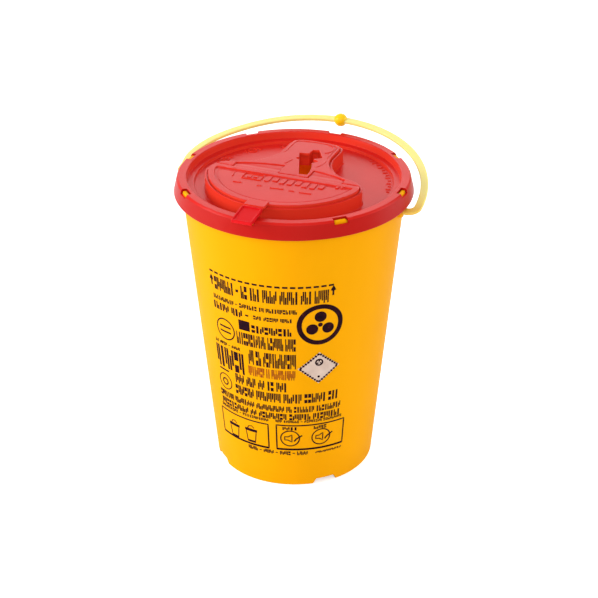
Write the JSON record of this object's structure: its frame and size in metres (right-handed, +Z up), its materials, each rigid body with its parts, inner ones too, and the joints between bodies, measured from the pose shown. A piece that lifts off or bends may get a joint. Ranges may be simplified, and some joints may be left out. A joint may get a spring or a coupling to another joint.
{
  "type": "sharps container",
  "caption": "Small round sharps bin: tapered bucket with a press-on lid, a hinged closure with a needle-remover slot, and a swinging bail handle.",
  "frame": {"origin": "centre of the bucket's foot ring, on the surface it stands on", "axes": "+Z up along the bucket's axis; the closing tab points to -Y; the bail's pivots lie on a line along X"},
  "size_m": [0.1154, 0.1163, 0.1456],
  "materials": {
    "bucket_yellow": "satin",
    "lid_red": "satin",
    "bail_yellow": "translucent satin",
    "label_white": "satin film",
    "print_ink": "printed ink"
  },
  "bodies": {
    "bucket": {"bucket_body": "bucket_yellow", "hazard_label": "label_white"},
    "lid": {"lid": "lid_red", "closure_plate": "lid_red", "hinge_strap_left": "lid_red", "hinge_strap_right": "lid_red"},
    "flap": {"closure_flap": "lid_red", "latch_fold": "lid_red"},
    "tab": {"latch_tab": "lid_red"},
    "bail": {"bail_handle": "bail_yellow"}
  },
  "joints": [
    {"name": "lid_lift", "type": "slide", "parent": "bucket", "child": "lid", "axis": [0, 0, 1], "range_m": [0, 0.04]},
    {"name": "flap_hinge", "type": "hinge", "parent": "lid", "child": "flap", "pos_m": [0, -0.0044, 0.1414], "axis": [-1, 0, 0], "range_deg": [0, 140], "deforming": ["hinge_strap_left", "hinge_strap_right"]},
    {"name": "tab_hinge", "type": "hinge", "parent": "flap", "child": "tab", "pos_m": [0, -0.044, 0.1417], "axis": [-1, 0, 0], "range_deg": [0, 50], "deforming": ["latch_fold"]},
    {"name": "bail_hinge", "type": "hinge", "parent": "bucket", "child": "bail", "pos_m": [0, 0, 0.1298], "axis": [1, 0, 0], "range_deg": [-46, 199]}
  ]
}
